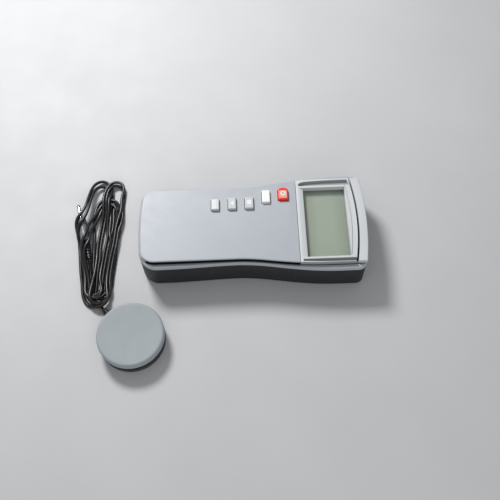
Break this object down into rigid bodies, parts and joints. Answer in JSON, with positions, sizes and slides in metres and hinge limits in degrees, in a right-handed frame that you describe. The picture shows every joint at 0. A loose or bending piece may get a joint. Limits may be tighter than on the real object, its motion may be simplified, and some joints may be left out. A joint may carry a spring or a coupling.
{
  "type": "handheld light meter",
  "caption": "Handheld light meter: a waisted grey display unit with a tall screen and keys, and a capped round sensor head on a lead that ends in a jack plug.",
  "frame": {"origin": "middle of the flat back that the display unit rests on", "axes": "+X along the display unit towards its display end, +Y across it to the side that the keys are nearer to, +Z out of its face"},
  "size_m": [0.2526, 0.1884, 0.0375],
  "materials": {
    "case_grey": "satin painted grey",
    "case_dark": "fine-textured charcoal",
    "trim_grey": "satin light grey",
    "key_grey": "satin",
    "key_white": "semi-gloss",
    "key_red": "semi-gloss",
    "window_clear": "clear, glossy",
    "lcd": "grey-green, glossy",
    "white_plastic": "satin",
    "board": "solder mask",
    "black_plastic": "satin",
    "nickel": "bright nickel plate",
    "zinc_steel": "zinc plated",
    "cell_wrap": "shrink sleeve",
    "cord_black": "smooth, slightly glossy",
    "plug_grey": "satin",
    "cap_grey": "fine matt",
    "sensor_dark": "fine matt",
    "diffuser": "opal",
    "filter_glass": "polished"
  },
  "bodies": {
    "display_unit": {"rear_shell": "case_dark", "front_shell": "case_grey", "window_bezel": "trim_grey", "end_strip": "trim_grey", "case_screw_1": "zinc_steel", "case_screw_2": "zinc_steel", "case_screw_3": "zinc_steel", "case_screw_4": "zinc_steel", "main_board": "board", "lcd_holder": "white_plastic", "lcd_backlight": "white_plastic", "lcd_glass": "lcd", "display_window": "window_clear", "microcontroller": "black_plastic", "signal_amplifier": "black_plastic", "clock_crystal": "nickel", "buzzer": "black_plastic", "usb_socket": "nickel", "sensor_socket": "black_plastic", "switch_light": "black_plastic", "switch_left": "black_plastic", "switch_enter": "black_plastic", "switch_hold": "black_plastic", "switch_power": "black_plastic", "battery_cell_1": "cell_wrap", "battery_cell_2": "cell_wrap", "battery_cell_3": "cell_wrap", "battery_spring_1": "nickel", "battery_spring_2": "nickel", "battery_spring_3": "nickel", "battery_link_grip_end": "nickel", "battery_terminal_positive": "nickel", "battery_link_display_end": "nickel", "battery_terminal_negative": "nickel"},
    "key_light": {"key_light": "key_grey"},
    "key_left": {"key_left": "key_grey"},
    "key_enter": {"key_enter": "key_grey"},
    "key_hold": {"key_hold": "key_white"},
    "key_power": {"key_power": "key_red"},
    "battery_door": {"battery_door": "case_dark"},
    "sensor_head": {"sensor_base": "sensor_dark", "sensor_housing": "sensor_dark", "diffuser": "diffuser", "sensor_board": "board", "photodiode": "black_plastic", "optical_filter": "filter_glass", "filter_holder": "black_plastic", "sensor_screw_1": "zinc_steel", "sensor_screw_2": "zinc_steel", "sensor_screw_3": "zinc_steel", "sensor_gland": "cord_black", "lead_hank": "cord_black", "plug_boot": "cord_black", "plug_body": "plug_grey", "plug_pin": "nickel"},
    "sensor_cap": {"sensor_cap": "cap_grey"}
  },
  "joints": [
    {"name": "key_light_press", "type": "slide", "parent": "display_unit", "child": "key_light", "axis": [0, 0, -1], "range_m": [0, 0.0008], "stiffness_N_per_m": 500, "springref_m": -0.0006},
    {"name": "key_left_press", "type": "slide", "parent": "display_unit", "child": "key_left", "axis": [0, 0, -1], "range_m": [0, 0.0008], "stiffness_N_per_m": 500, "springref_m": -0.0006},
    {"name": "key_enter_press", "type": "slide", "parent": "display_unit", "child": "key_enter", "axis": [0, 0, -1], "range_m": [0, 0.0008], "stiffness_N_per_m": 500, "springref_m": -0.0006},
    {"name": "key_hold_press", "type": "slide", "parent": "display_unit", "child": "key_hold", "axis": [0, 0, -1], "range_m": [0, 0.0008], "stiffness_N_per_m": 500, "springref_m": -0.0006},
    {"name": "key_power_press", "type": "slide", "parent": "display_unit", "child": "key_power", "axis": [0, 0, -1], "range_m": [0, 0.0008], "stiffness_N_per_m": 500, "springref_m": -0.0006},
    {"name": "battery_door_slide", "type": "slide", "parent": "display_unit", "child": "battery_door", "axis": [-1, 0, 0], "range_m": [0, 0.008]},
    {"name": "sensor_head_lift", "type": "slide", "parent": "display_unit", "child": "sensor_head", "axis": [0, 0, 1], "range_m": [0, 0.06]},
    {"name": "sensor_cap_lift", "type": "slide", "parent": "sensor_head", "child": "sensor_cap", "axis": [0, 0, 1], "range_m": [0, 0.03]}
  ]
}
